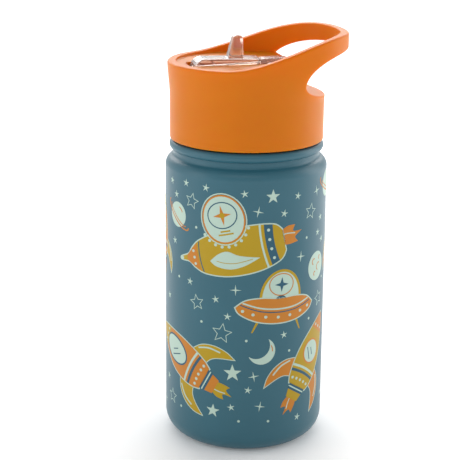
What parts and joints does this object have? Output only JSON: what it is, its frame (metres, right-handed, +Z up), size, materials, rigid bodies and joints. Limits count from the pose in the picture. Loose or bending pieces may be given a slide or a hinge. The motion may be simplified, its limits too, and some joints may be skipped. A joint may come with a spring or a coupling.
{
  "type": "kids water bottle",
  "caption": "Kids' insulated steel bottle with a screw-on straw lid, a swooping carry loop and a clear flip-up spout.",
  "frame": {"origin": "on the bottle's axis, in the plane it stands on", "axes": "+Z up along the bottle's axis, +X towards the carry loop, so the drinking side faces -X and the lid's mirror plane is Y = 0"},
  "size_m": [0.0808, 0.073, 0.1879],
  "materials": {
    "teal_paint": "satin powder coat with a printed pattern",
    "steel": "turned and brushed",
    "orange_plastic": "satin moulded",
    "orange_liner": "satin moulded",
    "clear_plastic": "polished, see-through",
    "straw_plastic": "see-through, slightly milky",
    "soft_tip": "soft, see-through silicone",
    "white_silicone": "matte silicone",
    "grey_silicone": "matte silicone with fine rings",
    "copper_foil": "bright foil",
    "getter_metal": "dull sintered metal"
  },
  "bodies": {
    "bottle": {"outer_shell": "teal_paint", "inner_flask": "steel", "base_plate": "steel", "foot_pad": "grey_silicone", "vacuum_plug": "getter_metal", "getter": "getter_metal", "foil_wrap": "copper_foil"},
    "gasket_ring": {"lid_gasket": "white_silicone"},
    "lid": {"lid_shell": "orange_plastic", "lid_liner": "orange_liner", "spout_seal": "white_silicone", "straw_socket": "white_silicone", "straw": "straw_plastic", "vent_valve": "white_silicone"},
    "flip_spout": {"spout": "clear_plastic", "mouthpiece": "soft_tip"}
  },
  "joints": [
    {"name": "lid_rise", "type": "slide", "parent": "bottle", "child": "gasket_ring", "axis": [0, 0, 1], "range_m": [0, 0.006]},
    {"name": "lid_turn", "type": "hinge", "parent": "gasket_ring", "child": "lid", "pos_m": [0, 0, 0.15], "axis": [0, 0, 1], "range_deg": [0, 540]},
    {"name": "spout_flip", "type": "hinge", "parent": "lid", "child": "flip_spout", "pos_m": [-0.0202, 0, 0.1714], "axis": [0, -1, 0], "range_deg": [0, 90]}
  ],
  "couplings": [
    {"joint": "lid_rise", "follows": "lid_turn", "m_per_rad": 0.00063662}
  ]
}
